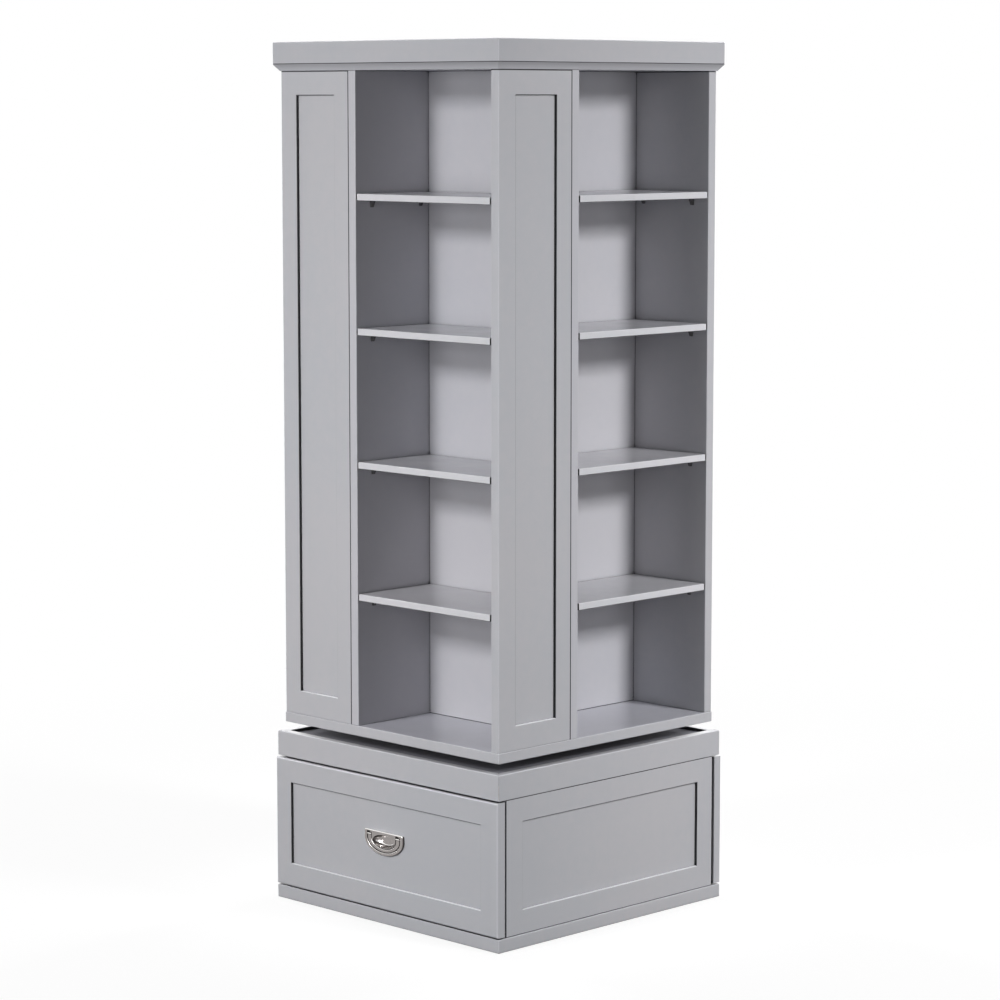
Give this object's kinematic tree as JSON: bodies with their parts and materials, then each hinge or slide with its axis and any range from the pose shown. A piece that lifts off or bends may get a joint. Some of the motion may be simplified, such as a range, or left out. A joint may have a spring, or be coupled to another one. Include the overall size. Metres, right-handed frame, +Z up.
{
  "type": "revolving bookcase",
  "caption": "Square painted bookcase tower of open shelves with sunk corner panels that turns on a low base holding opposed drawers with flush swinging pulls.",
  "frame": {"origin": "on the floor under the middle of the plan, on the axis that the tower turns about", "axes": "+Z up, -Y out of the front drawer, +X out of the fixed side panel on the right"},
  "size_m": [0.56, 0.565, 1.517],
  "materials": {
    "grey_paint": "satin paint",
    "drawer_wood": "clear lacquer",
    "steel": "zinc plated",
    "nickel": "polished nickel",
    "dark_plastic": "moulded"
  },
  "bodies": {
    "base": {"plinth_board": "grey_paint", "base_side_right": "grey_paint", "base_side_left": "grey_paint", "base_divider": "grey_paint", "base_fascia": "grey_paint", "base_top_panel": "grey_paint", "drawer_rails": "steel", "turntable_riser": "drawer_wood", "bearing_lower_plate": "steel", "bearing_lower_screws": "steel"},
    "ball_race": {"ball_cage": "dark_plastic", "bearing_balls": "steel"},
    "tower": {"bearing_upper_plate": "steel", "bearing_upper_screws": "steel", "tower_bottom": "grey_paint", "panel_front": "grey_paint", "panel_right": "grey_paint", "panel_back": "grey_paint", "panel_left": "grey_paint", "divider_front": "grey_paint", "divider_right": "grey_paint", "divider_back": "grey_paint", "divider_left": "grey_paint", "shelf_front_1": "grey_paint", "shelf_front_2": "grey_paint", "shelf_front_3": "grey_paint", "shelf_front_4": "grey_paint", "shelf_right_1": "grey_paint", "shelf_right_2": "grey_paint", "shelf_right_3": "grey_paint", "shelf_right_4": "grey_paint", "shelf_back_1": "grey_paint", "shelf_back_2": "grey_paint", "shelf_back_3": "grey_paint", "shelf_back_4": "grey_paint", "shelf_left_1": "grey_paint", "shelf_left_2": "grey_paint", "shelf_left_3": "grey_paint", "shelf_left_4": "grey_paint", "shelf_pins": "dark_plastic", "top_board": "grey_paint", "cap_board": "grey_paint"},
    "front_drawer": {"front_drawer_face": "grey_paint", "front_drawer_left": "drawer_wood", "front_drawer_right": "drawer_wood", "front_drawer_back": "drawer_wood", "front_drawer_bottom": "drawer_wood", "front_drawer_slides": "steel", "front_drawer_pull_plate": "nickel", "front_drawer_pull_screws": "steel"},
    "front_bail": {"front_drawer_bail": "nickel"},
    "back_drawer": {"back_drawer_face": "grey_paint", "back_drawer_left": "drawer_wood", "back_drawer_right": "drawer_wood", "back_drawer_back": "drawer_wood", "back_drawer_bottom": "drawer_wood", "back_drawer_slides": "steel", "back_drawer_pull_plate": "nickel", "back_drawer_pull_screws": "steel"},
    "back_bail": {"back_drawer_bail": "nickel"}
  },
  "joints": [
    {"name": "tower_turn", "type": "hinge", "parent": "base", "child": "tower", "pos_m": [0, 0, 0.31425], "axis": [0, 0, 1], "continuous": true},
    {"name": "ball_race_roll", "type": "hinge", "parent": "base", "child": "ball_race", "pos_m": [0, 0, 0.31425], "axis": [0, 0, 1], "continuous": true},
    {"name": "front_drawer_slide", "type": "slide", "parent": "base", "child": "front_drawer", "axis": [0, -1, 0], "range_m": [0, 0.17]},
    {"name": "front_bail_swing", "type": "hinge", "parent": "front_drawer", "child": "front_bail", "pos_m": [0, -0.2805, 0.15485], "axis": [-1, 0, 0], "range_deg": [0, 90]},
    {"name": "back_drawer_slide", "type": "slide", "parent": "base", "child": "back_drawer", "axis": [0, 1, 0], "range_m": [0, 0.17]},
    {"name": "back_bail_swing", "type": "hinge", "parent": "back_drawer", "child": "back_bail", "pos_m": [0, 0.2805, 0.15485], "axis": [1, 0, 0], "range_deg": [0, 90]}
  ],
  "couplings": [
    {"joint": "ball_race_roll", "follows": "tower_turn", "ratio": 0.5}
  ]
}
